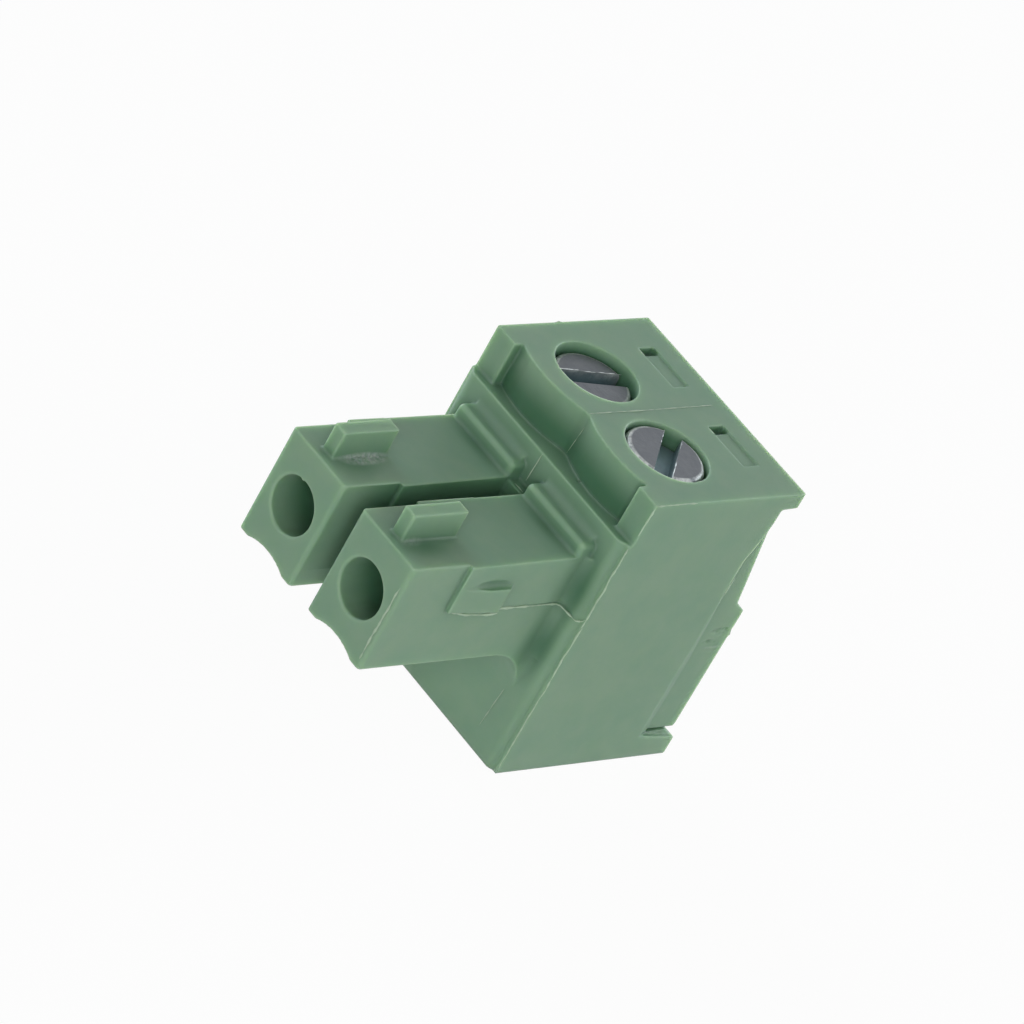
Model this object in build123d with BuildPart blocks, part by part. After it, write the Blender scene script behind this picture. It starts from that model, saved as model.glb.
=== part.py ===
from build123d import *
import math
import os

os.makedirs("parts", exist_ok=True)

# poles, side by side along X
pole_pitch = 3.81
pole_count = 2
side_margin = 2.41              # outer pole axis to the side wall
pole_span = (pole_count - 1) * pole_pitch
poles = [i * pole_pitch - pole_span / 2 for i in range(pole_count)]
body_width = pole_span + 2 * side_margin

# body, seen from the side: fingers point to -Y, conductors enter from +Y
body_height = 11.1
body_depth = 7.91               # front wall to the heel
finger_reach = 7.46             # front wall to the finger tips
total_length = body_depth + finger_reach
tip_y = -total_length / 2
front_y = tip_y + finger_reach
rear_y = total_length / 2
ledge_drop = 1.63               # top to the ledge over the fingers
ledge_height = body_height - ledge_drop
front_lean = 0.12               # the front wall leans back by this at the foot
front_thickness = 1.1
corner_radius = 0.42
lip_thickness = 0.6
lip_inset = 0.75                # heel to the lip's edge
lip_overhang = 0.68
lip_draft = 0.05                # the lip's underside rises towards its edge
slope_end_height = 6.35
slope_end_inset = 0.58
frame_height = 6.0              # top of the upright frame round the conductor entries
frame_inset = 0.08
heel_height = 0.68
notch_depth = 0.36
notch_height = 0.46

# side walls
skin_proud = 0.07               # the flat side stands proud of the rounded front corner
strip_depth = 0.18              # rear strip below the flat side
strip_width = 1.78
strip_bottom = 0.92
skin_setback = 0.23             # front wall to the front edge of the flat side
strip_foot_drop = 0.2           # the flat side slopes down to the heel below the strip
strip_curve_height = 2.1        # the strip's upper end curves back to the lip
strip_curve_radius = 5.5
strip_slot_depth = 0.3

# scalloped front above the ledge
tab_setback = 0.38
tab_width = 0.95
scallop_setback = 0.12          # tab face to the crown of each bulge
scallop_radius = 4.2
scallop_flat = 0.28             # flat strip in the valley between two bulges

# marking pockets on the top
pocket_width = 1.92
pocket_length = 0.7
pocket_floor = 0.07             # depth of the flat part
pocket_depth = 0.4              # at the foot of the steep end
pocket_ramp = 0.33              # length of the steep end
pocket_inset = 1.69             # heel to the pocket's rear wall

# fingers
finger_width = 2.82
finger_height = 4.04
finger_drop = 2.81              # body top to finger top
finger_top = body_height - finger_drop
finger_bottom = finger_top - finger_height
finger_round = 0.14             # upright edges at the tip
channel_width = 1.95
channel_depth = 0.23
root_radius = 0.8
side_root_radius = 0.35
panel_proud = 0.15
panel_draft = 0.07              # the panels thin towards the wall by this
panel_start = 2.39              # finger tip to the front edge of the side panels
panel_height = 1.84
latch_length = 2.0
latch_back = 0.3                # length of the slope behind the crest
latch_rise = 0.17
latch_height = 0.95
rib_width = 0.54
rib_offset = -0.12
rib_start = 0.42
rib_length = 2.3
rib_height = 1.0
bead_thickness = 0.62
bead_height = 0.5
bead_width = 3.0
bead_round = 0.18               # upper edges and front corners
bead_hollow = 0.12              # radius in front of the bead
bead_root = 0.3                 # radius between the bead's top and the wall
web_reach = 0.34                # web that closes the gap between two fingers at the wall
web_drop = 0.12

# sockets and contact chambers in the fingers
socket_drop = 1.98              # finger top to the socket axis
socket_radius = 0.95
socket_chamfer = 0.05
socket_depth = 1.5
cell_width = 2.1
cell_drop = 0.84                # finger top to the cell's ceiling
cell_end = 0.45                 # front wall to the cell's rear end
socket_z = finger_top - socket_drop

# current bar and tines, stamped in one
bar_thickness = 0.5
bar_width = 1.8
bar_drop = 1.36                 # socket axis to the underside of the bar
bar_gap = 0.05                  # clearance round the bar in the housing
bar_tail = 0.5                  # length held in the rear pocket
tine_thickness = 0.32
tine_tip = 2.15                 # finger tip to the tine ends
tine_height = 1.65
tine_grip = 0.8                 # gap where the pin is held
tine_mouth = 1.15
tine_root = 2.1                 # front wall to where the tines leave the web
tine_grip_back = 0.75           # tine ends to the grip point
contact_fold = 0.3              # outer radius where the sides are folded up
bar_z = socket_z - bar_drop

# clamp screws
screw_setback = 2.87            # front wall to the screw axis
screw_sink = 0.32               # body top to the head of a screw that is fully down
screw_lift = [0.0, 0.24]        # how far each screw stands above that
slot_angle = [79, 132]          # slot direction, degrees from +X
head_radius = 1.38
head_clearance = 0.084
head_room = 0.28                # head above the chamber that the cage rises in
head_round = 0.14
slot_width = 0.62
slot_depth = 0.6
shank_radius = 0.95
shank_chamfer = 0.2
screw_seat = 0.05               # end of the lower screw above the bar
thread_clearance = 0.05
screw_y = front_y + screw_setback

# clamp cages
cage_travel = 2.8
closed_gap = 0.4                # cage floor to bar when the cage is fully up
cage_wall = 0.45
cage_width = 2.9
cage_depth = 3.4
cage_floor = 0.5
cage_roof = 0.8
cage_corner = 0.4
cage_clearance = 0.05
bar_slack = 0.2                 # roof above the bar when the cage is down
cage_fold = 0.15                # inner radius of the folds
groove_count = 4
groove_pitch = 0.7
groove_width = 0.2
groove_depth = 0.1
seam_width = 0.05
seam_depth = 0.5
cage_inside = bar_z - closed_gap - cage_travel
cage_bottom = cage_inside - cage_floor
cage_top = bar_z + bar_thickness + bar_slack + cage_roof
chamber_bottom = cage_bottom - cage_clearance
chamber_width = cage_width + 2 * cage_clearance
chamber_depth = cage_depth + 2 * cage_clearance
chamber_top = cage_top + cage_travel + cage_clearance
chamber_rear = screw_y + chamber_depth / 2

# conductor entries
entry_width = 2.3
entry_corner = 0.3
entry_lead = 0.35
entry_bottom = cage_inside - cage_clearance
entry_top = bar_z - bar_gap
entry_height = entry_top - entry_bottom
entry_z = (entry_top + entry_bottom) / 2


def at_poles(height):
    return [(x, height) for x in poles]


def wall_y(height):
    """Front wall's face at a height, with its lean."""
    return front_y + front_lean * (1 - height / ledge_height)


def across(y):
    """Plane across the plug at y, facing the finger tips."""
    return Plane.XZ.offset(-y)


with BuildPart() as housing:
    tab_y = front_y + tab_setback
    lip_y = rear_y - lip_inset
    back_y = lip_y - lip_overhang
    frame_y = rear_y - frame_inset
    strip_y = rear_y - strip_width
    core_y = front_y + front_thickness / 2

    # front wall with rounded corners
    with BuildSketch(Plane.YZ):
        with BuildLine():
            Polyline(
                (front_y + front_lean, 0),
                (front_y + front_thickness, 0),
                (front_y + front_thickness, ledge_height),
                (front_y, ledge_height),
                close=True,
            )
        make_face()
    extrude(amount=body_width / 2 - skin_proud, both=True)
    corners = housing.edges().filter_by_position(Axis.Z, ledge_height / 3, ledge_height * 2 / 3)
    fillet(corners.group_by(Axis.Y)[0], corner_radius)

    # core, as wide as the recessed strips at the rear
    with BuildSketch(Plane.YZ):
        with BuildLine():
            Polyline(
                (core_y, 0),
                (rear_y, 0),
                (rear_y, heel_height),
                (rear_y - notch_depth, heel_height + notch_height / 2),
                (frame_y, heel_height + notch_height),
                (frame_y, frame_height),
                (rear_y - slope_end_inset, slope_end_height),
                (back_y, body_height - lip_thickness - lip_draft),
                (lip_y, body_height - lip_thickness),
                (lip_y, body_height),
                (tab_y, body_height),
                (tab_y, ledge_height - front_thickness),
                (core_y, ledge_height - front_thickness),
                close=True,
            )
        make_face()
    extrude(amount=body_width / 2 - strip_depth, both=True)

    # flat sides
    skin_y = front_y + skin_setback
    with BuildSketch(Plane.YZ):
        with BuildLine():
            edge = Polyline(
                (strip_y, body_height - lip_thickness - strip_curve_height),
                (strip_y, strip_bottom),
                (rear_y, strip_bottom - strip_foot_drop),
                (rear_y, 0),
                (skin_y, 0),
                (skin_y, ledge_height),
                (tab_y, ledge_height),
                (tab_y, body_height),
                (lip_y, body_height),
                (lip_y, body_height - lip_thickness),
                (back_y, body_height - lip_thickness - lip_draft),
            )
            RadiusArc(edge @ 1, edge @ 0, strip_curve_radius)
        make_face()
    extrude(amount=body_width / 2, both=True)

    # fingers with a hollowed underside
    channel_radius = (channel_width**2 / 4 + channel_depth**2) / (2 * channel_depth)
    with BuildSketch(across(tip_y)):
        with Locations(*at_poles((finger_top + finger_bottom) / 2)):
            Rectangle(finger_width, finger_height)
        with Locations(*at_poles(finger_bottom + channel_depth - channel_radius)):
            Circle(channel_radius, mode=Mode.SUBTRACT)
    extrude(amount=-(finger_reach + front_lean))
    fillet(housing.edges().filter_by(Axis.Z).group_by(Axis.Y)[0], finger_round)

    # guide panels along the rear of the fingers
    panel_y = tip_y + panel_start
    panel_bottom = finger_top - panel_height
    panel_front = finger_width / 2 + panel_proud
    panel_rear = panel_front - panel_draft
    with BuildSketch(Plane.XY.offset(panel_bottom)):
        with Locations(*at_poles(panel_y)):
            Polygon(
                (-panel_front, 0),
                (panel_front, 0),
                (panel_rear, front_y - panel_y),
                (panel_rear, front_y - panel_y + front_lean),
                (-panel_rear, front_y - panel_y + front_lean),
                (-panel_rear, front_y - panel_y),
                align=None,
            )
    extrude(amount=panel_height)

    # latch ramps on the two outer panels, low at the tip side
    ramp_x = pole_span / 2 + panel_front
    with BuildSketch(Plane.XY.offset(panel_bottom)):
        with BuildLine():
            Polyline(
                (ramp_x - panel_proud, panel_y),
                (ramp_x, panel_y),
                (ramp_x + latch_rise, panel_y + latch_length),
                (ramp_x - panel_draft, panel_y + latch_length + latch_back),
                (ramp_x - panel_proud, panel_y + latch_length + latch_back),
                close=True,
            )
        make_face()
        mirror(about=Plane.YZ)
    extrude(amount=latch_height)

    # keying rib on each finger
    rib_y = tip_y + rib_start + rib_length / 2
    with BuildSketch(Plane.XY.offset(finger_top)):
        with Locations(*[(x + rib_offset, rib_y) for x in poles]):
            Rectangle(rib_width, rib_length)
    extrude(amount=rib_height)

    # rounded bead where each finger meets the front wall, hollow in front and behind
    bead_front = front_y - bead_thickness
    bead_top = finger_top + bead_height
    with BuildPart(mode=Mode.PRIVATE) as bead:
        Box(
            bead_width,
            bead_thickness + front_lean,
            bead_height,
            align=(Align.CENTER, Align.MIN, Align.MAX),
        )
        fillet(bead.edges().filter_by(Axis.Z).group_by(Axis.Y)[0], bead_round)
        rims = bead.faces().sort_by(Axis.Z)[-1].edges()
        fillet(rims.group_by(Axis.Y)[:-1], bead_round)
    for x in poles:
        with Locations((x, bead_front, bead_top)):
            add(bead.part)
    root_width = bead_width - 2 * bead_round
    root_y = wall_y(bead_top + bead_root)
    with BuildSketch(*[Plane.YZ.offset(x - root_width / 2) for x in poles]):
        with Locations((bead_front, finger_top)):
            Rectangle(bead_hollow, bead_hollow, align=(Align.MAX, Align.MIN))
        with Locations((bead_front - bead_hollow, finger_top + bead_hollow)):
            Circle(bead_hollow, mode=Mode.SUBTRACT)
        with Locations((root_y, bead_top)):
            Rectangle(bead_root, bead_root, align=(Align.MAX, Align.MIN))
        with Locations((root_y - bead_root, bead_top + bead_root)):
            Circle(bead_root, mode=Mode.SUBTRACT)
    extrude(amount=root_width)

    # web between the fingers, at the wall
    web_width = pole_pitch - finger_width
    web_top = finger_top - web_drop
    with BuildSketch(Plane.XY.offset(finger_bottom)):
        with Locations(*[(x - pole_pitch / 2, front_y - web_reach / 2) for x in poles[1:]]):
            Rectangle(web_width, web_reach + 2 * front_lean)
    extrude(amount=web_top - finger_bottom)

    # rounded roots under the fingers
    root_y = wall_y(finger_bottom - root_radius)
    with BuildSketch(*[Plane.YZ.offset(x - finger_width / 2) for x in poles]):
        with Locations((root_y, finger_bottom + channel_depth)):
            Rectangle(root_radius, root_radius + channel_depth, align=(Align.MAX, Align.MAX))
        with Locations((root_y - root_radius, finger_bottom - root_radius)):
            Circle(root_radius, mode=Mode.SUBTRACT)
    extrude(amount=finger_width)

    # hollow fillets where the outer sides of the fingers meet the wall
    side_x = pole_span / 2 + finger_width / 2
    for x, low, high in (
        (side_x, finger_bottom, panel_bottom),
        (side_x + panel_proud - panel_draft, panel_bottom, finger_top),
    ):
        side_root_y = wall_y((low + high) / 2)
        with BuildSketch(Plane.XY.offset(low)):
            with Locations((x, side_root_y)):
                Rectangle(side_root_radius, side_root_radius, align=(Align.MIN, Align.MAX))
            with Locations((x + side_root_radius, side_root_y - side_root_radius)):
                Circle(side_root_radius, mode=Mode.SUBTRACT)
            mirror(about=Plane.YZ)
        extrude(amount=high - low)

    # scalloped recess between the tabs, bulging round each screw
    crown_y = tab_y + scallop_setback
    valley_x = (pole_pitch - scallop_flat) / 2
    valley = scallop_radius - math.sqrt(scallop_radius**2 - valley_x**2)
    recess_length = crown_y + valley - front_y
    with BuildSketch(Plane.XY.offset(ledge_height)):
        with Locations((0, front_y)):
            Rectangle(
                body_width - 2 * tab_width, recess_length, align=(Align.CENTER, Align.MIN)
            )
        with Locations(*[(x, crown_y + scallop_radius) for x in poles]):
            Circle(scallop_radius, mode=Mode.SUBTRACT)
    extrude(amount=body_height - ledge_height, mode=Mode.SUBTRACT)

    # shallow marking pockets, deep and steep at the -X end
    with BuildSketch(across(rear_y - pocket_inset)):
        with Locations(*at_poles(body_height)):
            Polygon(
                (-pocket_width / 2, 0),
                (-pocket_width / 2, -pocket_depth),
                (-pocket_width / 2 + pocket_ramp, -pocket_floor),
                (pocket_width / 2, -pocket_floor),
                (pocket_width / 2, 0),
                align=None,
            )
    extrude(amount=pocket_length, mode=Mode.SUBTRACT)

    # short slots at the foot of the rear strips
    slot_inner = body_width / 2 - strip_depth - strip_slot_depth
    slot_height = heel_height + notch_height - strip_bottom
    with BuildSketch(Plane.YZ.offset(slot_inner), Plane.YZ.offset(-slot_inner - strip_slot_depth)):
        with Locations((strip_y, strip_bottom)):
            Rectangle(strip_width, slot_height, align=(Align.MIN, Align.MIN))
    extrude(amount=strip_slot_depth, mode=Mode.SUBTRACT)

    # screw holes
    with Locations(*[(x, screw_y, body_height) for x in poles]):
        Hole(head_radius + head_clearance, depth=body_height - chamber_top + cage_clearance)

    # chambers in which the cages rise
    with BuildSketch(Plane.XY.offset(chamber_bottom)):
        with Locations(*[(x, screw_y) for x in poles]):
            Rectangle(chamber_width, chamber_depth)
    extrude(amount=chamber_top - chamber_bottom, mode=Mode.SUBTRACT)

    # contact cells in the fingers
    cell_y = front_y - cell_end
    cell_bottom = bar_z - bar_gap
    cell_height = finger_top - cell_drop - cell_bottom
    with BuildSketch(across(cell_y)):
        with Locations(*at_poles(cell_bottom + cell_height / 2)):
            Rectangle(cell_width, cell_height)
    extrude(amount=cell_y - tip_y - socket_depth, mode=Mode.SUBTRACT)

    # slots that hold the current bars, from the rear pockets through to the cells
    bar_end = chamber_rear + bar_tail
    with BuildSketch(across(bar_end + bar_gap)):
        with Locations(*at_poles(bar_z + bar_thickness / 2)):
            Rectangle(bar_width + 2 * bar_gap, bar_thickness + 2 * bar_gap)
    extrude(amount=bar_end + bar_gap - cell_y, mode=Mode.SUBTRACT)

    # round sockets for the header's pins
    with BuildSketch(across(tip_y)):
        with Locations(*at_poles(socket_z)):
            Circle(socket_radius)
    extrude(amount=-socket_depth, mode=Mode.SUBTRACT)
    rims = housing.edges().filter_by(GeomType.CIRCLE)
    rims = rims.filter_by(lambda rim: abs(rim.radius - socket_radius) < socket_chamfer)
    chamfer(rims.group_by(Axis.Y)[0], socket_chamfer)

    # conductor entries with a sloping lead-in
    with BuildSketch(across(rear_y)):
        with Locations(*at_poles(entry_z)):
            RectangleRounded(entry_width, entry_height, entry_corner)
    extrude(amount=rear_y - chamber_rear, mode=Mode.SUBTRACT)
    with BuildSketch(across(frame_y)):
        with Locations(*at_poles(entry_z)):
            RectangleRounded(
                entry_width + 2 * entry_lead, entry_height + 2 * entry_lead, entry_corner + entry_lead
            )
    extrude(amount=entry_lead, taper=45, mode=Mode.SUBTRACT)

housing.part.label = "housing"
export_step(housing.part, "parts/housing.step")

# screws, each at its own depth and slot angle
shank_end = bar_z + bar_thickness + screw_seat
head_z = chamber_top + head_room
head_top = body_height - screw_sink
for number, x in enumerate(poles, start=1):
    lift = screw_lift[(number - 1) % len(screw_lift)]
    turn = math.radians(slot_angle[(number - 1) % len(slot_angle)])
    with BuildPart() as screw:
        with BuildSketch(Plane((x, screw_y, lift), x_dir=(1, 0, 0), z_dir=(0, -1, 0))):
            with BuildLine():
                Polyline(
                    (0, shank_end),
                    (shank_radius - shank_chamfer, shank_end),
                    (shank_radius, shank_end + shank_chamfer),
                    (shank_radius, head_z),
                    (head_radius, head_z),
                    (head_radius, head_top),
                    (0, head_top),
                    close=True,
                )
            make_face()
        revolve(axis=Axis((x, screw_y, 0), (0, 0, 1)))
        fillet(screw.edges().filter_by(GeomType.CIRCLE).group_by(Axis.Z)[-1], head_round)
        slot_plane = Plane(
            (x, screw_y, head_top + lift), x_dir=(math.cos(turn), math.sin(turn), 0), z_dir=(0, 0, 1)
        )
        with BuildSketch(slot_plane):
            Rectangle(3 * head_radius, slot_width)
        extrude(amount=-slot_depth, mode=Mode.SUBTRACT)
    screw.part.label = f"screw_{number}"
    export_step(screw.part, f"parts/screw_{number}.step")

# clamp cages, folded from strip with a double roof
for number, x in enumerate(poles, start=1):
    inner_width = cage_width - 2 * cage_wall
    inner_height = cage_top - cage_roof - cage_inside
    cage_rear = screw_y + cage_depth / 2
    with BuildPart() as cage:
        with BuildSketch(across(cage_rear)):
            with Locations((x, (cage_bottom + cage_top) / 2)):
                RectangleRounded(cage_width, cage_top - cage_bottom, cage_corner)
            with Locations((x, cage_inside + inner_height / 2)):
                RectangleRounded(inner_width, inner_height, cage_fold, mode=Mode.SUBTRACT)
            with Locations((x + cage_width / 2, cage_top - cage_roof / 2)):
                Rectangle(2 * seam_depth, seam_width, mode=Mode.SUBTRACT)
        extrude(amount=cage_depth)
        with Locations((x, screw_y, cage_top)):
            Hole(shank_radius + thread_clearance, depth=cage_roof + bar_slack)

        # grooves that grip the conductor
        with BuildSketch(Plane.YZ.offset(x - inner_width / 2 + cage_fold)):
            with Locations((screw_y, cage_inside)):
                with GridLocations(groove_pitch, 1, groove_count, 1):
                    Polygon(
                        (-groove_width / 2, 0), (0, -groove_depth), (groove_width / 2, 0), align=None
                    )
        extrude(amount=inner_width - 2 * cage_fold, mode=Mode.SUBTRACT)
    cage.part.label = f"cage_{number}"
    export_step(cage.part, f"parts/cage_{number}.step")

# contacts: bar and web in one, with two tines that close on the pin
for number, x in enumerate(poles, start=1):
    web_half = cell_width / 2 - bar_gap
    web_rear = cell_y - bar_gap
    web_front = front_y - tine_root
    tine_end = tip_y + tine_tip
    grip_y = tine_end + tine_grip_back
    tine_z = socket_z - tine_height / 2
    with BuildPart() as contact:
        with BuildSketch(Plane.XY.offset(bar_z)):
            with Locations((x, bar_end)):
                Rectangle(bar_width, bar_end - web_front, align=(Align.CENTER, Align.MAX))
            with Locations((x, web_rear)):
                Rectangle(2 * web_half, web_rear - web_front, align=(Align.CENTER, Align.MAX))
        extrude(amount=bar_thickness)

        # folded sides, then the free tines
        with BuildSketch(Plane.XY.offset(bar_z)):
            for side in (-1, 1):
                with Locations((x + side * (web_half - tine_thickness / 2), web_rear)):
                    Rectangle(
                        tine_thickness, web_rear - web_front, align=(Align.CENTER, Align.MAX)
                    )
        extrude(amount=tine_z + tine_height - bar_z)
        folds = contact.edges().filter_by(Axis.Y).group_by(Axis.Z)[0]
        fillet(folds.sort_by(lambda edge: abs(edge.center().X - x))[-2:], contact_fold)
        with BuildSketch(Plane.XY.offset(tine_z)):
            for side in (-1, 1):
                with BuildLine():
                    Polyline(
                        (x + side * web_half, web_front),
                        (x + side * (tine_grip / 2 + tine_thickness), grip_y),
                        (x + side * (tine_mouth / 2 + tine_thickness), tine_end),
                        (x + side * tine_mouth / 2, tine_end),
                        (x + side * tine_grip / 2, grip_y),
                        (x + side * (web_half - tine_thickness), web_front),
                        close=True,
                    )
                make_face()
        extrude(amount=tine_height)
    contact.part.label = f"contact_{number}"
    export_step(contact.part, f"parts/contact_{number}.step")
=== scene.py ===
import math
import random

import bmesh
import bpy
import numpy as np
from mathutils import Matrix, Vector, noise


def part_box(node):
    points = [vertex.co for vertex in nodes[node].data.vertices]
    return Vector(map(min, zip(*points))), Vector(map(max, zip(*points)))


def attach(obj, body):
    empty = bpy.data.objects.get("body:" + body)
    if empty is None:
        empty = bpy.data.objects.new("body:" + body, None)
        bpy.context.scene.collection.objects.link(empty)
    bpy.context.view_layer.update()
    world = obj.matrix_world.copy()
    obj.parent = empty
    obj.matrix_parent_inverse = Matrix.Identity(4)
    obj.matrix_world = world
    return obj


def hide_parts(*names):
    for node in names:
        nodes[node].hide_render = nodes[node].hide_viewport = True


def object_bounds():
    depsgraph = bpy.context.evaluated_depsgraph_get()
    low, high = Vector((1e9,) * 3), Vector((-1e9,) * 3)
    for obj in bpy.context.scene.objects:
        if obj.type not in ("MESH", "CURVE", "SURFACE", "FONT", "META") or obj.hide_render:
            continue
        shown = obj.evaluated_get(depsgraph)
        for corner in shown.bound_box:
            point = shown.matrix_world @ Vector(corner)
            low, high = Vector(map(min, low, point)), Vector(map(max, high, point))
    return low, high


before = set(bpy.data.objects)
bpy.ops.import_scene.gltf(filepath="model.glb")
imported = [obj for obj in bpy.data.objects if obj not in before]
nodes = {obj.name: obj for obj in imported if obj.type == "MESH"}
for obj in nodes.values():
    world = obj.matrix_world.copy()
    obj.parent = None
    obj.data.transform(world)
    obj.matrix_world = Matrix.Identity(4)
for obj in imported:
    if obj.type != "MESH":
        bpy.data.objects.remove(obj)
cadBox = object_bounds()
scene = bpy.context.scene
mm = 0.001                      # sizes in the dictionaries are millimetres
noise.seed_set(1)               # noise_vector changes from run to run without it
print("frame loaded,", len(nodes), "nodes")


# shared node groups: they put out colours, masks, values and normals only

def newGroup(name, inputs, outputs):
    group = bpy.data.node_groups.new(name, "ShaderNodeTree")
    for label, kind, value in inputs:
        socket = group.interface.new_socket(label, in_out="INPUT", socket_type="NodeSocket" + kind)
        socket.default_value = value
    for label, kind in outputs:
        group.interface.new_socket(label, in_out="OUTPUT", socket_type="NodeSocket" + kind)
    return group, group.nodes.new("NodeGroupInput").outputs, group.nodes.new("NodeGroupOutput").inputs


def addNode(tree, kind, links, **settings):
    node = tree.nodes.new("ShaderNode" + kind)
    for key, value in settings.items():
        setattr(node, key, value)
    for key, value in links.items():
        if isinstance(value, bpy.types.NodeSocket):
            tree.links.new(value, node.inputs[key])
        else:
            node.inputs[key].default_value = value
    return node


def mixColor(tree, factor, first, second):
    return addNode(tree, "Mix", {0: factor, 6: first, 7: second}, data_type="RGBA").outputs[2]


def calc(tree, operation, first, second=0.5):
    return addNode(tree, "Math", {0: first, 1: second}, operation=operation).outputs[0]


def spread(tree, value, span):
    return addNode(tree, "MapRange", {"Value": value, "From Min": span[0], "From Max": span[1]}).outputs[0]


def clouds(tree, place, scale, detail=3.0, rough=0.55):
    links = {"Vector": place, "Scale": scale, "Detail": detail, "Roughness": rough}
    return addNode(tree, "TexNoise", links).outputs[0]


grainLook = {
    "broadShare": 0.6,
    "middleTimes": 4.7,             # middle clouds, finer than the broad ones by this
    "middleHeight": 2.5,
    "patches": (0.36, 0.64),        # cloud values where a patch starts and where it is full
    "edgeWearAndHighlightScale": 2600.0,
    "edgeWearAndHighlightSpan": (0.30, 0.62),
    "scuffScale": 5200.0,
    "scuffs": (0.34, 0.6),
    "paintedHollowShading": (0.98, 0.45),        # openness where the painted hollow shading starts and where it is full
    "paintedHollowShadingSamples": 5,
}

# flow marks, fine grain, lighter edges (rubbed wear, and a painted highlight on the plastic), painted shade
# in hollows, recesses and spots, and a painted reflection in the screw slots
surfaceGroup, given, put = newGroup(
    "surfaceGrain",
    [
        ("Color", "Color", (0.5, 0.5, 0.5, 1)),
        ("Shade", "Color", (0.4, 0.4, 0.4, 1)),
        ("Edge", "Color", (0.7, 0.7, 0.7, 1)),
        ("Scuff", "Color", (0.5, 0.5, 0.5, 1)),
        ("Hollow Painted Light And Shade", "Color", (0.2, 0.2, 0.2, 1)),
        ("Hollow Painted Light And Shade Amount", "Float", 0.0),
        ("Hollow Reach", "Float", 0.0006),
        ("Depth", "Float", 0.0),
        ("Mottle Scale", "Float", 300.0),
        ("Mottle Amount", "Float", 0.5),
        ("Edge Amount", "Float", 0.5),
        ("Grain Scale", "Float", 9000.0),
        ("Grain Height", "Float", 0.000002),
        ("Roughness", "Float", 0.4),
        ("Roughness Spread", "Float", 0.1),
    ],
    [("Color", "Color"), ("Roughness", "Float"), ("Normal", "Vector")],
)
tree = surfaceGroup
place = addNode(tree, "TexCoord", {}).outputs["Object"]
broad = clouds(tree, place, given["Mottle Scale"])
middle = clouds(tree, place, calc(tree, "MULTIPLY", given["Mottle Scale"], grainLook["middleTimes"]), 4.0)
broadPart = calc(tree, "MULTIPLY", broad, grainLook["broadShare"])
middlePart = calc(tree, "MULTIPLY", middle, 1 - grainLook["broadShare"])
patchy = spread(tree, calc(tree, "ADD", broadPart, middlePart), grainLook["patches"])
mottle = calc(tree, "MULTIPLY", patchy, given["Mottle Amount"])
tinted = mixColor(tree, mottle, given["Color"], given["Shade"])
# lighter edges: rubbed wear on the metal parts, a painted highlight along the plastic's edges
band = addNode(tree, "Attribute", {}, attribute_name="edgeBand").outputs["Fac"]
edgeWearAndHighlightClouds = clouds(tree, place, grainLook["edgeWearAndHighlightScale"], 4.0, 0.65)
wornAndLitEdges = calc(tree, "MULTIPLY", band, spread(tree, edgeWearAndHighlightClouds, grainLook["edgeWearAndHighlightSpan"]))
tinted = mixColor(tree, calc(tree, "MULTIPLY", wornAndLitEdges, given["Edge Amount"]), tinted, given["Edge"])
scuffs = addNode(tree, "Attribute", {}, attribute_name="scuff").outputs["Fac"]
scuffClouds = clouds(tree, place, grainLook["scuffScale"], 4.0, 0.7)
chalky = calc(tree, "MULTIPLY", scuffs, spread(tree, scuffClouds, grainLook["scuffs"]))
# painted shade: the colour goes to the hollow colour where ambient occlusion finds the surface hemmed in, and
# where the Depth mask of recesses and spots is high; in the screw slots that colour is lighter, a painted
# reflection
occlusion = addNode(
    tree,
    "AmbientOcclusion",
    {"Distance": given["Hollow Reach"]},
    samples=grainLook["paintedHollowShadingSamples"],
    only_local=True,
)
hollow = spread(tree, occlusion.outputs["AO"], grainLook["paintedHollowShading"])
hollow = calc(tree, "MULTIPLY", hollow, given["Hollow Painted Light And Shade Amount"])
tinted = mixColor(tree, calc(tree, "MAXIMUM", hollow, given["Depth"]), tinted, given["Hollow Painted Light And Shade"])
tree.links.new(mixColor(tree, chalky, tinted, given["Scuff"]), put["Color"])
fine = clouds(tree, place, given["Grain Scale"], 4.0, 0.6)
swing = calc(tree, "MULTIPLY", calc(tree, "SUBTRACT", middle, 0.5), given["Roughness Spread"])
tree.links.new(calc(tree, "ADD", given["Roughness"], swing), put["Roughness"])
height = calc(tree, "ADD", fine, calc(tree, "MULTIPLY", middle, grainLook["middleHeight"]))
bump = addNode(tree, "Bump", {"Strength": 1.0, "Distance": given["Grain Height"], "Height": height})
tree.links.new(bump.outputs[0], put["Normal"])

# painted shade in a recess: 0 at the mouth of a recess, inside the box from Low to High, and Amount at Reach
# behind it
recessShadeGroup, given, put = newGroup(
    "recessShade",
    [
        ("Low", "Vector", (0.0, 0.0, 0.0)),
        ("High", "Vector", (1.0, 1.0, 1.0)),
        ("From Low", "Vector", (0.0, 0.0, 0.0)),
        ("From High", "Vector", (0.0, 0.0, 0.0)),
        ("Reach", "Float", 0.001),
        ("Amount", "Float", 1.0),
    ],
    [("Mask", "Float")],
)
tree = recessShadeGroup
place = addNode(tree, "TexCoord", {}).outputs["Object"]
above = addNode(tree, "VectorMath", {0: place, 1: given["Low"]}, operation="SUBTRACT").outputs[0]
below = addNode(tree, "VectorMath", {0: given["High"], 1: place}, operation="SUBTRACT").outputs[0]
nearest = addNode(tree, "VectorMath", {0: above, 1: below}, operation="MINIMUM").outputs[0]
margins = addNode(tree, "SeparateXYZ", {0: nearest}).outputs
smallest = calc(tree, "MINIMUM", calc(tree, "MINIMUM", margins[0], margins[1]), margins[2])
inside = calc(tree, "GREATER_THAN", smallest, 0.0)
runLow = addNode(tree, "VectorMath", {0: above, 1: given["From Low"]}, operation="DOT_PRODUCT")
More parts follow.
